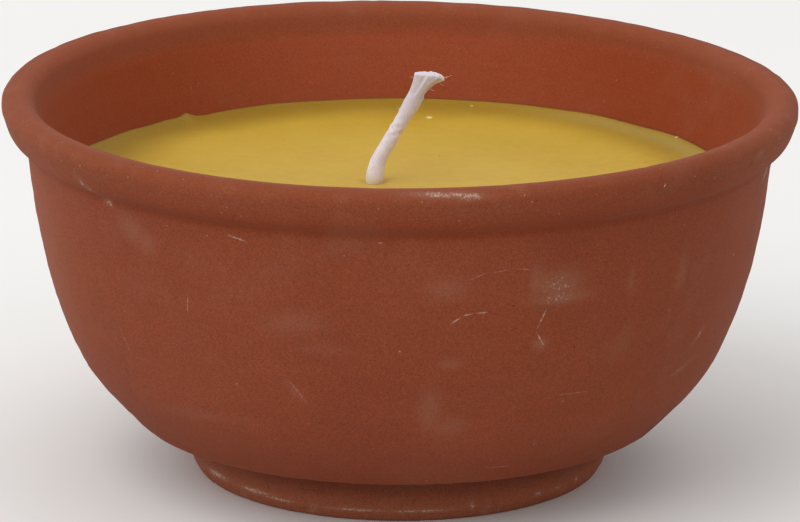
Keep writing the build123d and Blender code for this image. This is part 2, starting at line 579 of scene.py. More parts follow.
# painted sheen, where the outside turns away at the bowl's left and right edges
CLAY_EDGE_SHEEN = srgb(165, 92, 62)
RIM_END_TINT = (0.90, 0.93, 0.90)
RIGHT_SIDE_SHADE = (0.94, 0.91, 0.80)  # the +X side of the bowl is darker and deeper in colour: painted shade
DUST_AND_SHEEN_COLOUR = srgb(150, 118, 98)
DUST_BRIGHT = srgb(182, 156, 140)
EDGE_COLOUR = srgb(156, 106, 84)
SPECK_LIGHT = srgb(184, 142, 120)
SPECK_DARK = srgb(66, 30, 20)
RING_HEIGHT = 63.1  # a faint pale ring inside the lip, where its rounded edge ends
ACROSS_SCALE = 60.0  # millimetres of surface for one radian of azimuth, on the body

# Thin marks: azimuth, height, half length, half width, tilt in degrees, strength (below 0 is dark)
SCRATCHES = [
    (11.5, 51.9, 2.3, 0.12, 22, 0.35),
    (15.4, 52.7, 2.2, 0.12, 8, 0.35),
    (18.6, 52.7, 2, 0.12, -10, 0.3),
    (22.1, 43.4, 2.5, 0.18, 68, 0.65),
    (22.2, 39.6, 2, 0.20, -60, 0.65),
    (8.6, 44.2, 1.6, 0.22, 38, 0.6),
    (10.4, 45.2, 1, 0.22, 14, 0.6),
    (12.4, 45.4, 1.2, 0.22, 0, 0.6),
    (-34, 44.2, 3.1, 0.12, 82, 0.5),
    (-50, 33.5, 3.6, 0.12, -74, 0.4),
    (-24.5, 57.4, 2.1, 0.20, -14, 0.7),
    (-2.8, 58.3, 0.5, 0.18, 0, 0.9),
    (39.4, 65.3, 0.55, 0.16, 75, 1),
    (-16.5, 30, 3.4, 0.16, -58, 0.3),
    (20.5, 13.6, 4, 0.14, -4, 0.4),
    (55, 27, 4, 0.14, 18, 0.4),
    (30, 28, 5, 0.14, -3, 0.25),
    (-58.5, 62, 2, 0.10, -66, 0.4),
    (-37.8, 4.4, 1.8, 0.16, -72, -0.9),
    (-24, 5, 7, 0.12, 2, -0.35),
    (-78, 64.6, 1.2, 0.3, -20, -0.9),
    (59.1, 64.4, 1.1, 0.35, 80, -0.5),
    (128, 46, 5, 0.14, 30, 0.5),
    (-148, 40, 6, 0.14, -25, 0.5),
    (170, 52, 3, 0.18, 60, 0.5),
]


def paint_clay(clay, medium, banding):
    """Bare clay, a little mottled and banded."""
    clay.paint(clay.ramp(clay.noise(40, detail=3), 0.3, 0.7, 0.25, 1.0), CLAY)
    clay.paint(clay.ramp(medium, 0.45, 0.75, 0.0, 0.30), CLAY_LIGHT)
    clay.paint(clay.ramp(banding, 0.35, 0.7, 0.0, 0.16), CLAY_DARK)


def paint_inner_wall(clay, inside, medium):
    """The inner wall, where wax has soaked in, with painted glow from the wax towards its sides, and the
    rounded edge, paler with painted highlight, and faint ring above it.
    """
    tide = clay.math("MULTIPLY_ADD", medium, 1.2 * MM, clay.up)
    soaked = clay.times(inside, clay.ramp(tide, 62.8 * MM, 66.0 * MM, 0.95, 0.0))
    clay.paint(soaked, CLAY_SOAKED)
    # deeper orange towards the sides of the inner wall: painted glow reflected from the wax
    wax_glow_beside = clay.ramp(clay.math("ABSOLUTE", clay.across), 14 * MM, 48 * MM, 0.0, 0.95)
    clay.paint(clay.times(soaked, wax_glow_beside), CLAY_WAX_GLOW)
    # the rounded inner edge of the lip made paler: painted highlight
    clay.paint(clay.times(inside, clay.ramp(tide, 63.0 * MM, 66.0 * MM, 0.0, 0.55)), CLAY_BEVEL_HIGHLIGHT)
    from_ring = clay.math("ABSOLUTE", clay.math("SUBTRACT", clay.up, RING_HEIGHT * MM))
    ring = clay.times(clay.ramp(from_ring, 0.1 * MM, 0.4 * MM, 0.16, 0.0), inside)
    broken = clay.ramp(clay.noise(1.4, detail=4, roughness=0.8), 0.55, 0.68)
    clay.paint(clay.times(ring, broken), DUST_AND_SHEEN_COLOUR)


def paint_foot(clay, run, outside):
    """The lowest part of the body and the foot, both with painted shade, the foot darkest in the shelter of
    the body.
    """
    # the lower body darkened: painted shade
    low = clay.ramp(run, run_at(10.5), run_at(22.0), 0.45, 0.0)
    clay.paint(clay.times(low, outside), CLAY_UNDER_SHADE)
    clay.paint(clay.ramp(run, run_at(6.8), run_at(8.4), 0.9, 0.0), CLAY_FOOT)
    foot_side = clay.ramp(run, run_at(2.4), run_at(6.8), 0.0, FOOT_SHADE)
    body_side = clay.ramp(run, run_at(8.6), run_at(9.8), FOOT_SHADE, 0.0)
    less_left = clay.ramp(clay.across, -36 * MM, -12 * MM, 0.7, 1.05)
    shade = clay.times(clay.math("MINIMUM", foot_side, body_side), less_left)
    clay.paint(clay.times(shade, outside), CLAY_DARKEST)


def paint_sides(clay, fine, on_rim, inside, outside):
    """Painted shade on the +X side, painted sheen towards the left and right edges, the clay's grain, and the
    different tint of the rim's ends.
    """
    across = clay.across
    # darker and deeper towards +X: painted shade
    clay.paint(clay.ramp(across, 2 * MM, 38 * MM), RIGHT_SIDE_SHADE, "MULTIPLY")
    # paler towards the far left of the outside: painted sheen
    clay.paint(clay.times(clay.ramp(across, -66 * MM, -44 * MM, 0.18, 0.0), outside), CLAY_EDGE_SHEEN)
    coarse = clay.ramp(inside, 0.0, 1.0, 0.32, 0.18)
    grain = clay.math("MULTIPLY_ADD", clay.ramp(fine, 0.25, 0.75, -1.0, 1.0), coarse, 1.0)
    clay.paint(1.0, clay.add("CombineColor", {0: grain, 1: grain, 2: grain}).outputs[0], "MULTIPLY")
    rim_end = clay.ramp(clay.math("ABSOLUTE", across), 36 * MM, 54 * MM)
    clay.paint(clay.times(rim_end, clay.times(on_rim, outside)), RIM_END_TINT, "MULTIPLY")
    # paler towards the far right of the outside: painted sheen
    clay.paint(clay.times(clay.ramp(across, 50 * MM, 64 * MM, 0.0, 0.12), outside), CLAY_EDGE_SHEEN)


def paint_dust(clay):
    """A thin film of dust all over, and thicker dust, broken up by grit, on the patches, one of which is
    painted sheen.
    """
    dust = clay.attribute("dust")
    grit = clay.noise(0.55, detail=5, roughness=0.9)
    covered = clay.ramp(clay.math("MULTIPLY_ADD", dust, 0.34, grit), 0.73, 0.82, 0.0, 0.88)
    film = clay.times(clay.ramp(clay.noise(16, 5, 0.65), 0.5, 0.75, 0.0, 0.14), grit)
    clay.paint(clay.math("MAXIMUM", clay.times(dust, 0.38), film), DUST_AND_SHEEN_COLOUR)
    clay.paint(covered, DUST_BRIGHT)


def paint_scratches(clay, run):
    """Pale and dark scratches. Returns the mask of the dark ones, which are cut into the clay."""
    azimuth = clay.math("ARCTAN2", clay.across, clay.times(clay.back, -1.0))
    flat = clay.add("CombineXYZ", {0: clay.times(azimuth, ACROSS_SCALE), 1: run}).outputs[0]
    spots = [(math.radians(mark[0]) * ACROSS_SCALE, run_at(mark[1]), *mark[2:]) for mark in SCRATCHES]
    pale, dark = clay.marks(flat, spots)
    worn_thin = clay.ramp(clay.noise(0.5, 3), 0.38, 0.6, 0.1, 1.0)
    clay.paint(clay.times(pale, worn_thin), DUST_BRIGHT)
    clay.paint(dark, SPECK_DARK)
    return dark


def paint_dots(clay, on_rim, inside, outside):
    """Light dots, fainter inside, and dark pinholes, more of both on the rim. Returns the pinholes' mask."""
    sandy = clay.times(clay.specks(1.2, 0.36, 0.17), on_rim)
    light = clay.math("MAXIMUM", clay.specks(2.3, 0.09, 0.10), clay.times(sandy, 0.9))
    light = clay.times(light, clay.ramp(inside, 0.0, 1.0, 1.0, 0.35))
    rim_pinholes = clay.times(clay.times(clay.specks(1.5, 0.30, 0.14), on_rim), outside)
    dark = clay.math("MAXIMUM", clay.specks(2.1, 0.14, 0.115), rim_pinholes)
    clay.paint(clay.times(light, 0.6), SPECK_LIGHT)
    clay.paint(clay.times(dark, 0.65), SPECK_DARK)
    return dark


def terracotta_material():
    clay = Shader("fired_terracotta", CLAY_DARK)
    run = clay.attribute("run")
    inside = clay.attribute("inside")
    outside = clay.math("SUBTRACT", 1.0, inside)
    on_rim = clay.ramp(run, run_at(60.6), run_at(65.0), 0.0, 0.9)
    medium = clay.noise(6.0, detail=4, roughness=0.6)
    fine = clay.noise(0.28, detail=3, roughness=0.75)
    banding = clay.noise(2.2, detail=3, stretch=(0.12, 0.12, 1.0))

    paint_clay(clay, medium, banding)
    # the groove under the rim darkened: painted shade
    clay.paint(clay.ramp(run, run_at(58.0), run_at(59.6), 0.0, 0.85), CLAY_UNDER_SHADE)
    clay.paint(on_rim, CLAY_RIM)
    paint_inner_wall(clay, inside, medium)
    paint_foot(clay, run, outside)
    paint_sides(clay, fine, on_rim, inside, outside)
    # the top of the lip paler: partly paler, dustier clay and partly painted sheen
    lip = clay.ramp(clay.up, (BOWL_HEIGHT - 3.4) * MM, (BOWL_HEIGHT - 0.4) * MM, 0.0, 0.35)
    clay.paint(lip, CLAY_LIGHT)
    wear = clay.times(clay.attribute("wear"), clay.ramp(fine, 0.35, 0.6), clamp=True)
    clay.paint(wear, EDGE_COLOUR)
    paint_dust(clay)
    scratches = paint_scratches(clay, run)
    pinholes = paint_dots(clay, on_rim, inside, outside)

    clay.emboss(fine, 0.35, 0.05)
    clay.emboss(medium, 0.30, 0.12)
    clay.emboss(banding, 0.25, 0.08)
    pits = clay.math("SUBTRACT", 1.0, clay.math("MAXIMUM", pinholes, scratches))
    clay.emboss(pits, 0.6, 0.10)
    surface = {
        "Roughness": clay.ramp(medium, 0.2, 0.8, 0.82, 0.95),
        "Specular IOR Level": 0.25,
        "Sheen Weight": 0.02,
        "Sheen Roughness": 0.6,
        "Sheen Tint": (*srgb(226, 190, 172), 1.0),
    }
    return clay.finished(surface)


# ---- poured wax

WAX_OVERLAP = 0.05  # the wax's side is sunk this far into the wall, so that no gap shows
WAX_SEGMENTS = 360
WAX_CLIMB = 0.3  # the wax creeps this far up the wall, past the level it was poured to
MENISCUS_REACH = 2.3
DIMPLE_DEPTH = 0.35
DIMPLE_REACH = 2.4
RIDGE_HEIGHT = 0.2
RIDGE_PLACE = (-2.9, -0.2)
RIDGE_REACH = 1.0
WAX_RIPPLE = 0.006
RIPPLE_ACROSS = 7.0
RIPPLE_BACK = 5.0
WAX_EDGE_UNEVEN = 0.05
WAX_EDGE_NOISE = (20, 24, 1.0)
WAX_SPACING = 2.0
WAX_SEED = 5
# Small climbs and dips of the wax's edge: azimuth, half width in degrees, height
EDGE_STEPS = [
    (-138.1, 1.3, 0.75),
    (-134, 4, 0.35),
    (-120, 10, 0.3),
    (-107, 9, 0.9),
    (-142.5, 2.2, -0.14),
    (112, 9, 0.2),
    (60, 3, 0.2),
    (-20, 5, 0.15),
]


def wax_surface_height(across, back, azimuth, from_wall, rng):
    """The height of the wax's upper surface."""
    rise = WAX_EDGE_HEIGHT + WAX_CLIMB - WAX_MIDDLE
    edge = rise + WAX_EDGE_UNEVEN * (soft_noise(azimuth, 0 * azimuth, *WAX_EDGE_NOISE, rng) - 1.0)
    for degrees, half_width, step in EDGE_STEPS:
        edge = edge + step * bell(np.degrees(angle_between(azimuth, degrees)), half_width)
    height = WAX_MIDDLE + edge * np.exp(-from_wall / MENISCUS_REACH)
    height = height + WAX_RIPPLE * np.sin(across / RIPPLE_ACROSS + 1.0) * np.cos(back / RIPPLE_BACK)
    near_wick = np.hypot(across - WICK_X, back - WICK_Y)
    height = height - DIMPLE_DEPTH * np.exp(-((near_wick / DIMPLE_REACH) ** 4))
    near_ridge = np.hypot(across - (WICK_X + RIDGE_PLACE[0]), back - (WICK_Y + RIDGE_PLACE[1]))
    return height + RIDGE_HEIGHT * bell(near_ridge, RIDGE_REACH)


def wax_ring_shares():
    """Where the surface's rings lie between the wick, at 0, and the wall, at 1: closest at both ends."""
    radius = WAX_LINE[0]
    by_wick = np.arange(0.25, 5.0, 0.25)
    middle = np.linspace(5.2, radius - 6.0, 34)
    by_wall = np.linspace(radius - 5.7, radius, 26)
    return np.concatenate([by_wick, middle, by_wall])[::-1] / radius


def build_wax(material):
    """The wax, from the middle of its underside up the wall and in over its surface to the wick."""
    rng = np.random.default_rng(WAX_SEED)
    azimuth = around(WAX_SEGMENTS)
    cavity = smooth_line(CAVITY, WALL_SLOPE, (-1, 0))[::-1]
    floor = np.array([(0.0, FLOOR_HEIGHT), CAVITY[-1]])
    side = np.concatenate([respaced(floor, 2 * WAX_SPACING)[1:], respaced(cavity, WAX_SPACING)])
    side_radius = side[:, :1] + WAX_OVERLAP * (side[:, 1:] > FLOOR_HEIGHT)
    side_grid = placed(side_radius, azimuth, side[:, 1:])

    shares = wax_ring_shares()[:, None]
    across = WICK_X * (1 - shares) + shares * WAX_LINE[0] * np.sin(azimuth)
    back = WICK_Y * (1 - shares) - shares * WAX_LINE[0] * np.cos(azimuth)
    reach = np.hypot(across, back)
    from_wall = np.maximum(WAX_LINE[0] - reach, 0)
    height = wax_surface_height(across, back, azimuth, from_wall, rng)
    wall_shift = (height - WAX_EDGE_HEIGHT) * WALL_SLOPE[0] / WALL_SLOPE[1] + WAX_OVERLAP
    stretch = 1 + np.exp(-from_wall) * wall_shift / WAX_LINE[0]
    top_grid = np.stack([across * stretch, back * stretch, height], axis=-1)

    grid = np.concatenate([side_grid, top_grid])
    low = (0, 0, FLOOR_HEIGHT)
    high = (WICK_X, WICK_Y, WAX_MIDDLE - DIMPLE_DEPTH)
    piece = turned_piece("poured_wax", grid, low, high, material)
    side_zeros = np.zeros(side_grid.shape[:2])
    set_attribute(piece, "from_wall", np.concatenate([side_zeros, from_wall]), 0, WAX_LINE[0])
    return piece


WAX_COLOUR = srgb(193, 156, 43)
WAX_PALE = srgb(199, 162, 50)
WAX_OLIVE = srgb(140, 108, 26)
# painted reflection on the raised edge of the wax, on the right
WAX_EDGE_REFLECTION = srgb(168, 146, 78)
WAX_EDGE_DARK = srgb(112, 66, 30)
WAX_CRUMB = srgb(240, 222, 160)
WAX_GRIT = srgb(120, 84, 40)
WAX_SCATTER = (1.0, 0.62, 0.18)
# Crumbs and grit on the wax: across, back, half length, half width, tilt, strength (below 0 is dark)
WAX_FLECKS = [
    (5.4, 47.4, 0.75, 1.2, 8, 0.85),
    (13.3, 55, 0.4, 0.8, 0, 0.3),
    (50.2, 30.2, 0.5, 0.5, 0, 0.6),
    (7.2, 19.7, 0.22, 0.6, 0, -0.7),
    (44, 16, 0.3, 0.7, 0, -0.5),
    (-21, 31, 0.3, 0.6, 0, -0.4),
]


def wax_material():
    shader = Shader("poured_wax", WAX_COLOUR)
    from_wall = shader.attribute("from_wall")
    cloud = shader.noise(18, detail=3)
    mottle = shader.noise(2.4, detail=4, roughness=0.6)
    fine = shader.noise(0.4, detail=3, roughness=0.7)
    shader.paint(shader.ramp(cloud, 0.3, 0.7), WAX_PALE)
    shader.paint(shader.ramp(fine, 0.3, 0.7, 0.0, 0.14), WAX_OLIVE)
    shader.paint(shader.ramp(mottle, 0.4, 0.8, 0.0, 0.05), WAX_OLIVE)
    # darker olive in a band along the wall, more on the left: painted shade from the wall
    left = shader.ramp(shader.across, -0.045, 0.04, 1.0, 0.75)
    uneven = shader.math("MULTIPLY_ADD", cloud, 4.0, -2.0)
    wall_shade_band = shader.ramp(shader.math("ADD", from_wall, uneven), 1.0, 14.0, 0.9, 0.0)
    shader.paint(shader.times(wall_shade_band, left), WAX_OLIVE)
    # paler and greyer where the wax climbs the wall on the right: painted reflection
    right = shader.ramp(shader.across, 0.012, 0.04, 0.0, 0.5)
    reflection_outer = shader.ramp(from_wall, 0.3, 1.4)
    reflection_inner = shader.ramp(from_wall, 2.2, 6.0, 1.0, 0.0)
    edge_reflection = shader.times(reflection_outer, reflection_inner)
    shader.paint(shader.times(edge_reflection, right), WAX_EDGE_REFLECTION)
    # darker and redder right where the wax meets the wall
    edge = shader.ramp(from_wall, 0.0, 0.45, 0.8, 0.0)
    shader.paint(edge, WAX_EDGE_DARK)
    flat = shader.add("VectorMath", {0: shader.place, "Scale": 1 / MM}, operation="SCALE").outputs[0]
    flat = shader.add("VectorMath", {0: flat, 1: (1.0, 1.0, 0.0)}, operation="MULTIPLY").outputs[0]
    pale, dark = shader.marks(flat, WAX_FLECKS)
    light_dots = shader.specks(9.0, 0.10, 0.03)
    dark_dots = shader.specks(8.0, 0.12, 0.03)
    light_dots = shader.math("MAXIMUM", shader.times(light_dots, 0.5), pale)
    dark_dots = shader.math("MAXIMUM", shader.times(dark_dots, 0.5), dark)
    shader.paint(light_dots, WAX_CRUMB)
    shader.paint(dark_dots, WAX_GRIT)
    shader.emboss(cloud, 0.2, 0.05)
    shader.emboss(mottle, 0.08, 0.01)
    shader.emboss(fine, 0.15, 0.006)
    surface = {
        "Roughness": shader.ramp(mottle, 0.2, 0.8, 0.42, 0.56),
        "Subsurface Weight": 0.35,
        "Subsurface Radius": WAX_SCATTER,
        "Subsurface Scale": 2.0 * MM,
        "Specular IOR Level": 0.35,
    }
    return shader.finished(surface)


# ---- braided wick

# The wick's middle line, across and up from the flexing point, in millimetres
WICK_BOTTOM = BURIED_BOX[0][2] - WAX_MIDDLE + 0.40  # just clear of the glue dot
WICK_TOP = WICK_BOX[1][2] - WAX_MIDDLE
WICK_LINE = [(0.0, WICK_BOTTOM), (0.0, -12.0), (0.0, -0.8), (0.42, 2.7), (3.0, 7.9), (6.1, 13.3), (8.2, 17.2)]
# How thick the wick is, as a share of its buried girth, at these heights above the flexing point
GIRTH_UP = [-32.8, -31.6, -1.2, 0.3, 2.8, 4.6, 11.4, 13.2, 15.4, 17.2]
GIRTH_SHARES = [0.80, 1.0, 1.0, 1.18, 1.16, 0.92, 0.92, 1.12, 1.18, 0.75]
STRANDS = 8
STRAND_RADIUS = 0.50
STRAND_ORBIT = 0.86
STRAND_WEAVE = 0.045
STRAND_PITCH = 7.0
CORE_RADIUS = 1.3
CORE_UNEVEN = 0.045
CORE_NOISE = (12, 1, 3.5)
CORE_SIDES = 20
STRAND_SIDES = 10
WICK_STEP = 0.3
WICK_VOXEL = 0.12
COAT_SOFTNESS = 0.5  # the wax that coats the wick rounds its strands off
COAT_PASSES = 9
WICK_SEED = 3

# The cut end: where its yarns end, across and up, at these shares of the way from the left to the right
FLARE_SHARES = [-1.0, -0.3, 0.3, 0.7, 1.0]
FLARE_ACROSS = [7.4, 8.8, 10.3, 11.5, 12.25]
FLARE_UP = [WICK_TOP - shortfall for shortfall in (0.30, 0.34, 0.42, 0.7, 1.35)]
NECK = (6.0, 13.2)
NECK_HALF_WIDTH = 0.7
FLARE_BEND = (8.25, 18.0)
FLARE_BEND_HALF = (1.0, 0.25)
YARNS = 96
YARN_RADII = (0.30, 0.42)  # at the neck and at the cut end
YARN_DEPTH = 1.15
YARN_SPREAD = 0.08  # how far the yarns' ends stray across
YARN_SHORT = 0.12  # and how much shorter than the cut some of them are
YARN_POINTS = 14
YARN_SIDES = 8


def tube(line, radii, sides):
    """Points and faces of a closed tube along a line in space."""
    line = np.array(line, float)
    along = directions(line)
    side = np.cross(along, (0.0, 1.0, 0.0))
    side /= np.linalg.norm(side, axis=1, keepdims=True)
    other = np.cross(side, along)
    angles = around(sides)[:, :, None]
    round_side = np.cos(angles) * side[:, None, :]
    round_other = np.sin(angles) * other[:, None, :]
    radii = np.broadcast_to(radii, len(line))[:, None, None]
    rings = line[:, None, :] + radii * (round_side + round_other)
    points = [line[0], *rings.reshape(-1, 3), line[-1]]
    last_ring = 1 + (len(line) - 1) * sides
    faces = cap_faces(0, 1, sides, facing_up=True)
    faces += [tuple(reversed(face)) for face in ring_faces(len(line), sides, first=1)]
    faces += cap_faces(len(points) - 1, last_ring, sides, facing_up=False)
    return points, faces


def gathered(parts):
    """Several lots of points and faces as one."""
    points = []
    faces = []
    for part_points, part_faces in parts:
        offset = len(points)
        points += list(part_points)
        faces += [tuple(index + offset for index in face) for face in part_faces]
    return points, faces


def wick_middle():
    """The wick's middle line as evenly spaced points about the flexing point, and how far up each one is."""
    ends = (0, 1), np.subtract(WICK_LINE[-1], WICK_LINE[-2])
    flat = respaced(smooth_line(WICK_LINE, *ends), WICK_STEP)
    line = np.stack([flat[:, 0], np.zeros(len(flat)), flat[:, 1]], axis=1)
    return line, distances_along(line)


def braid_parts(line, along, rng):
    """A core, and strands that wind both ways round it and pass over and under each other."""
    other = np.array([0.0, 1.0, 0.0])
    side = np.cross(directions(line), other)
    girth = np.interp(line[:, 2], GIRTH_UP, GIRTH_SHARES)
    uneven = CORE_UNEVEN * soft_noise(np.zeros(len(line)), along, *CORE_NOISE, rng)
    parts = [tube(line, CORE_RADIUS * (girth + uneven), CORE_SIDES)]
    each_way = STRANDS // 2
    for strand in range(STRANDS):
        way = 1 if strand % 2 == 0 else -1
        angle = FULL_TURN * (strand // 2) / each_way + way * FULL_TURN * along / STRAND_PITCH
        orbit = (STRAND_ORBIT + STRAND_WEAVE * way * np.cos(each_way * angle)) * girth
        shift = orbit[:, None] * (np.cos(angle)[:, None] * side + np.sin(angle)[:, None] * other)
        parts.append(tube(line + shift, STRAND_RADIUS, STRAND_SIDES))
    return parts


def flare_parts(rng):
    """The cut end, where the yarns spread into a fan that droops to the right."""
    parts = []
    for share in np.linspace(-1, 1, YARNS):
        depth = YARN_DEPTH * rng.uniform(-1, 1) * math.sqrt(1 - 0.6 * share**2)
        start = np.array([NECK[0] + NECK_HALF_WIDTH * share, depth, NECK[1] - 0.4 * share])
        tip_across = np.interp(share, FLARE_SHARES, FLARE_ACROSS) + rng.uniform(-YARN_SPREAD, YARN_SPREAD)
        tip_up = np.interp(share, FLARE_SHARES, FLARE_UP) - rng.uniform(0, YARN_SHORT)
        tip = np.array([tip_across, 0.85 * depth, tip_up])
        bend_across, bend_up = np.add(FLARE_BEND, np.multiply(FLARE_BEND_HALF, share))
        middle = np.array([bend_across, depth, bend_up])
        line = []
        for t in np.linspace(0, 1, YARN_POINTS):
            line.append((1 - t) ** 2 * start + 2 * t * (1 - t) * middle + t**2 * tip)
        parts.append(tube(line, np.linspace(*YARN_RADII, YARN_POINTS), YARN_SIDES))
    return parts


# Loose fibres at the cut end and along the wick: start across, start up, end across, end up, sag
FIBRES = [
    (12.2, 19, 13.6, 19.3, 0.1),
    (7.4, 19.4, 7.3, 19.95, 0),
    (11.9, 18.6, 12.9, 19, 0.06),
    (11.4, 18, 12.2, 17.4, 0.1),
    (9.8, 16.9, 10.6, 16.5, 0.1),
    (6.9, 18.9, 6.2, 19.2, 0.05),
    (-1, 1.6, -1.8, 2.1, 0.1),
    (0.2, 5.4, -0.6, 5.9, 0.1),
    (4.9, 9, 5.9, 8.8, 0.1),
    (4.6, 13.2, 3.8, 13.6, 0.1),
]
FIBRE_RADIUS = 0.03
FIBRE_POINTS = 9
FIBRE_SIDES = 6


def fibre_parts(rng):
    parts = []
    for start_x, start_z, end_x, end_z, sag in FIBRES:
        start = np.array([start_x, rng.uniform(-0.4, 0.4), start_z])
        end = np.array([end_x, start[1] + rng.uniform(-0.3, 0.3), end_z])
        line = []
        for t in np.linspace(0, 1, FIBRE_POINTS):
            line.append(start * (1 - t) + end * t - np.array([0, 0, sag * math.sin(math.pi * t)]))
        parts.append(tube(line, np.linspace(FIBRE_RADIUS, FIBRE_RADIUS / 2, FIBRE_POINTS), FIBRE_SIDES))
    return parts


def final_mesh(piece):
    """Applies the piece's modifiers to its mesh."""
    evaluated = piece.evaluated_get(bpy.context.evaluated_depsgraph_get())
    mesh = bpy.data.meshes.new_from_object(evaluated)
    piece.modifiers.clear()
    piece.data = mesh
    mesh.shade_smooth()


def build_wick(material):
    rng = np.random.default_rng(WICK_SEED)
    line, along = wick_middle()
    points, faces = gathered(braid_parts(line, along, rng) + flare_parts(rng))
    piece = new_piece("braided_wick", np.array(points) + FLEX_POINT, faces, material)
    remesh = piece.modifiers.new("one_skin", "REMESH")
    remesh.mode = "VOXEL"
    remesh.voxel_size = WICK_VOXEL * MM
    soften = piece.modifiers.new("wax_coat", "SMOOTH")
    soften.factor = COAT_SOFTNESS
    soften.iterations = COAT_PASSES
    final_mesh(piece)
    skin_points = np.array([vertex.co for vertex in piece.data.vertices]) / MM
    skin_faces = [tuple(face.vertices) for face in piece.data.polygons]
    fibre_points, fibre_faces = gathered(fibre_parts(rng))
    fibre_points = np.array(fibre_points) + FLEX_POINT
    points, faces = gathered([(skin_points, skin_faces), (fibre_points, fibre_faces)])
    bpy.data.objects.remove(piece)
    return new_piece("braided_wick", points, faces, material)


COTTON = srgb(230, 226, 236)
# darker cotton: the grain of the fibres, and painted shade in the hollows between strands
COTTON_FIBRE_AND_SHADE = srgb(208, 202, 214)
COTTON_WAXED = srgb(228, 206, 160)
COTTON_WHITE = srgb(250, 247, 255)
COTTON_AGED = srgb(198, 188, 194)  # the cut end has greyed


def wick_material():
    shader = Shader("waxed_cotton", COTTON)
    patches = shader.noise(1.6, detail=3)
    fibre = shader.noise(0.16, detail=3, roughness=0.8, stretch=(1.0, 1.0, 0.7))
    hollow = shader.add("NewGeometry").outputs["Pointiness"]
    up = shader.math("MULTIPLY_ADD", shader.up, 1 / MM, -WAX_MIDDLE)
    above = shader.ramp(up, 0.6, 2.2)
    clean = shader.times(above, shader.ramp(up, 3.0, 6.0, 0.9, 0.25))
    shader.paint(shader.times(shader.ramp(patches, 0.25, 0.6), clean), COTTON_WHITE)
    # darker in the hollows between strands: painted shade
    shader.paint(shader.ramp(hollow, 0.44, 0.52, 0.55, 0.0), COTTON_FIBRE_AND_SHADE)
    shader.paint(shader.ramp(fibre, 0.35, 0.65, 0.0, 0.7), COTTON_FIBRE_AND_SHADE)
    shader.paint(shader.ramp(up, 10.0, 17.0, 0.0, 0.75), COTTON_AGED)
    foot = shader.ramp(up, 0.2, 1.8, 0.5, 0.0)
    head = shader.ramp(shader.across, (WICK_X + 10.4) * MM, (WICK_X + 12.2) * MM, 0.0, 0.45)
    waxed = shader.times(shader.math("ADD", foot, head), shader.ramp(patches, 0.2, 0.6, 0.4, 1.0))
    shader.paint(waxed, COTTON_WAXED)
    shader.emboss(fibre, 0.7, 0.06)
    shader.emboss(patches, 0.3, 0.08)
    surface = {
        "Roughness": shader.ramp(fibre, 0.2, 0.8, 0.50, 0.72),
        "Subsurface Weight": 0.6,
        "Subsurface Radius": (1.0, 0.8, 0.7),
        "Subsurface Scale": 1.0 * MM,
        "Sheen Weight": 0.25,
    }
    return shader.finished(surface)


# ---- wick sustainer and glue dot

TAB_RADIUS = (SUSTAINER_BOX[1][0] - SUSTAINER_BOX[0][0]) / 2
NECK_HEIGHT = SUSTAINER_BOX[1][2] - SUSTAINER_BOX[0][2]
WICK_RADIUS = (BURIED_BOX[1][0] - BURIED_BOX[0][0]) / 2
SHEET = 0.3
BEAD_MIDDLE = 7.2
BEAD_HALF_WIDTH = 0.8
BEAD_HEIGHT = 0.35
CRIMPS = 3
CRIMP_DEPTH = 0.16
NECK_START = 1.5
BEAD_FADE = (4.0, 5.0)
CRIMP_BOTTOM = (2.0, 3.4)
CRIMP_TOP = (4.6, 5.9)
UPPER_ROUNDS = [0.12, 1.0, 0.1]
LOWER_ROUNDS = [1.1]
TIN_SPACING = 0.16
TAB_SEGMENTS = 144


def build_sustainer(material):
    """A stamped round tab with a raised bead and a crimped neck, one closed sheet-thick skin."""
    neck = WICK_RADIUS + SHEET
    neck_top = (WICK_RADIUS, NECK_HEIGHT)
    tab_edge = (TAB_RADIUS, 0.0)
    upper_corners = [tab_edge, (TAB_RADIUS, SHEET), (neck, SHEET), (neck, NECK_HEIGHT), neck_top]
    upper = rounded_line(upper_corners, UPPER_ROUNDS)
    lower = rounded_line([neck_top, (WICK_RADIUS, 0.0), tab_edge], LOWER_ROUNDS)
    outline = np.concatenate([respaced(upper, TIN_SPACING), respaced(lower, TIN_SPACING)])
    azimuth = around(TAB_SEGMENTS)
    radius = outline[:, :1]
    height = outline[:, 1:]
    bead = BEAD_HEIGHT * bell(radius - BEAD_MIDDLE, BEAD_HALF_WIDTH)
    height = height + bead * (height < NECK_START) * smooth_step(radius, *BEAD_FADE)
    on_neck = smooth_step(height, *CRIMP_BOTTOM) * (1 - smooth_step(height, *CRIMP_TOP))
    radius = radius - CRIMP_DEPTH * on_neck * np.maximum(0, np.cos(CRIMPS * azimuth)) ** 4
    base = np.array([WICK_X, WICK_Y, SUSTAINER_BOX[0][2]])
    points = placed(radius, azimuth, height).reshape(-1, 3) + base
    faces = ring_faces(len(outline), TAB_SEGMENTS)
    last = (len(outline) - 1) * TAB_SEGMENTS
    for k in range(TAB_SEGMENTS):
        after = (k + 1) % TAB_SEGMENTS
        faces.append((last + k, last + after, after, k))
    return new_piece("tin_sustainer", points, faces, material)


def tin_material():
    tin = Shader("stamped_tin", srgb(196, 196, 192))
    brushed = tin.noise(0.5, detail=4, roughness=0.7, stretch=(0.15, 1.0, 1.0))
    stain = tin.noise(3.0, detail=3)
    tin.paint(tin.ramp(stain, 0.45, 0.75, 0.0, 0.5), srgb(160, 152, 138))
    tin.emboss(brushed, 0.2, 0.02)
    surface = {
        "Roughness": tin.ramp(brushed, 0.2, 0.8, 0.26, 0.48),
        "Metallic": 1.0,
    }
    return tin.finished(surface)


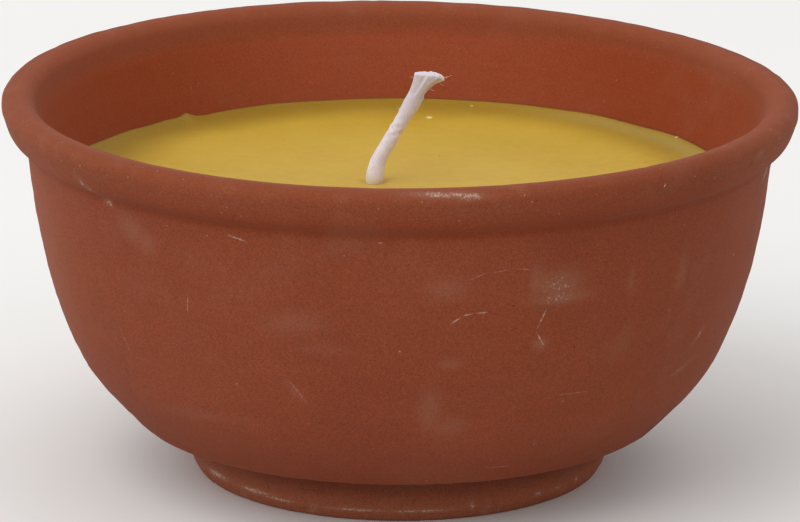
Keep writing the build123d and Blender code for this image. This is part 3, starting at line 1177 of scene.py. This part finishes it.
DOT_RADIUS = (DOT_BOX[1][0] - DOT_BOX[0][0]) / 2
DOT_THICKNESS = DOT_BOX[1][2] - DOT_BOX[0][2]
DOT_SEGMENTS = 120
DOT_INSET = 0.2
DOT_ROUNDS = [0.25, 0.38]
DOT_SPACING = 0.2
DOT_UNEVEN = 0.08
DOT_UNEVEN_LIMIT = 0.16
DOT_NOISE = (16, 9, 1.0)
DOT_SEED = 9


def build_dot(material):
    """Glue pressed flat between the floor and the tab, with a rounded, uneven edge."""
    rng = np.random.default_rng(DOT_SEED)
    azimuth = around(DOT_SEGMENTS)
    edge = DOT_RADIUS - DOT_INSET
    corners = [(0.0, 0.0), (edge, 0.0), (edge, DOT_THICKNESS), (0.0, DOT_THICKNESS)]
    outline = respaced(rounded_line(corners, DOT_ROUNDS), DOT_SPACING)[1:]
    uneven = DOT_UNEVEN * soft_noise(azimuth, 0 * azimuth, *DOT_NOISE, rng)
    radius = outline[:, :1] * (1 + np.clip(uneven, -DOT_UNEVEN_LIMIT, DOT_UNEVEN_LIMIT) / DOT_RADIUS)
    low = (WICK_X, WICK_Y, DOT_BOX[0][2])
    grid = placed(radius, azimuth, outline[:, 1:]) + np.array(low)
    high = (WICK_X, WICK_Y, DOT_BOX[1][2])
    return turned_piece("glue_dot", grid, low, high, material)


def glue_material():
    glue = Shader("hot_melt_glue", srgb(214, 206, 180))
    cloud = glue.noise(1.5, detail=3)
    glue.paint(cloud, srgb(232, 226, 206))
    glue.emboss(cloud, 0.3, 0.05)
    surface = {
        "Roughness": glue.ramp(cloud, 0.2, 0.8, 0.3, 0.45),
        "Subsurface Weight": 0.4,
        "Subsurface Scale": 1.0 * MM,
    }
    return glue.finished(surface)


# ---- the pieces and what they ride on

bowl = build_bowl(terracotta_material())
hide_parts("bowl")
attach(bowl, "candle")

wax = build_wax(wax_material())
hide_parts("wax_fill")
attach(wax, "candle")

wick = build_wick(wick_material())
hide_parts("wick_buried", "wick_exposed")
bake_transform(wick)

sustainer = build_sustainer(tin_material())
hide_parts("wick_sustainer")
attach(sustainer, "candle")

dot = build_dot(glue_material())
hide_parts("adhesive_dot")
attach(dot, "candle")


# ---- floor, light and camera

FLOOR_SIZE = 12.0
FLOOR_DROP = 0.00005
CAMERA_ELEVATION = 15.72
CAMERA_DISTANCE = 1.0638
CAMERA_LENS = 270.0
CAMERA_SENSOR = 36.0
CAMERA_ROLL = 0.25
CAMERA_TARGET = Vector((0.00012, 0.0, 0.03675))


def build_floor():
    shader = Shader("pale_floor", srgb(232, 231, 229))
    cloud = shader.noise(140, detail=2)
    shader.paint(cloud, srgb(238, 237, 235))
    material = shader.finished({"Roughness": 0.9})
    half = FLOOR_SIZE / 2 / MM
    drop = -FLOOR_DROP / MM
    corners = [(-half, -half, drop), (half, -half, drop), (half, half, drop), (-half, half, drop)]
    floor = new_piece("floor", corners, [(0, 1, 2, 3)], material)


SKY_STRENGTH = 0.80
LIGHT_TARGET = Vector((0.0, 0.0, 0.03))
# Where each light is, its size and its power
LIGHTS = {
    "key": ((-1.1, -0.9, 1.5), 2.2, 18.5),
    "top": ((0.0, 0.3, 1.8), 1.6, 3.0),
}


def area_light(name, place, size, power):
    light = bpy.data.lights.new(name, "AREA")
    light.shape = "DISK"
    light.size = size
    light.energy = power
    lamp = bpy.data.objects.new(name, light)
    lamp.location = place
    lamp.rotation_euler = (LIGHT_TARGET - Vector(place)).to_track_quat("-Z", "Y").to_euler()
    bpy.context.scene.collection.objects.link(lamp)


def build_world(strength):
    """An even, plain white dome."""
    world = bpy.data.worlds.new("studio")
    world.use_nodes = True
    background = world.node_tree.nodes["Background"]
    background.inputs["Color"].default_value = (1.0, 1.0, 1.0, 1.0)
    background.inputs["Strength"].default_value = strength
    bpy.context.scene.world = world


def build_camera():
    elevation = math.radians(CAMERA_ELEVATION)
    back = Vector((0, -math.cos(elevation), math.sin(elevation)))
    camera_data = bpy.data.cameras.new("camera")
    camera_data.lens = CAMERA_LENS
    camera_data.sensor_width = CAMERA_SENSOR
    camera_data.clip_start = 0.01
    camera_data.clip_end = 50.0
    camera = bpy.data.objects.new("camera", camera_data)
    camera.location = CAMERA_TARGET + back * CAMERA_DISTANCE
    turn = (-back).to_track_quat("-Z", "Y").to_matrix().to_4x4()
    roll = Matrix.Rotation(math.radians(CAMERA_ROLL), 4, "Z")
    camera.rotation_euler = (turn @ roll).to_euler()
    bpy.context.scene.collection.objects.link(camera)
    bpy.context.scene.camera = camera


build_floor()
build_world(SKY_STRENGTH)
for light_name, light in LIGHTS.items():
    area_light(light_name, *light)
build_camera()
bpy.context.scene.view_settings.view_transform = "Standard"
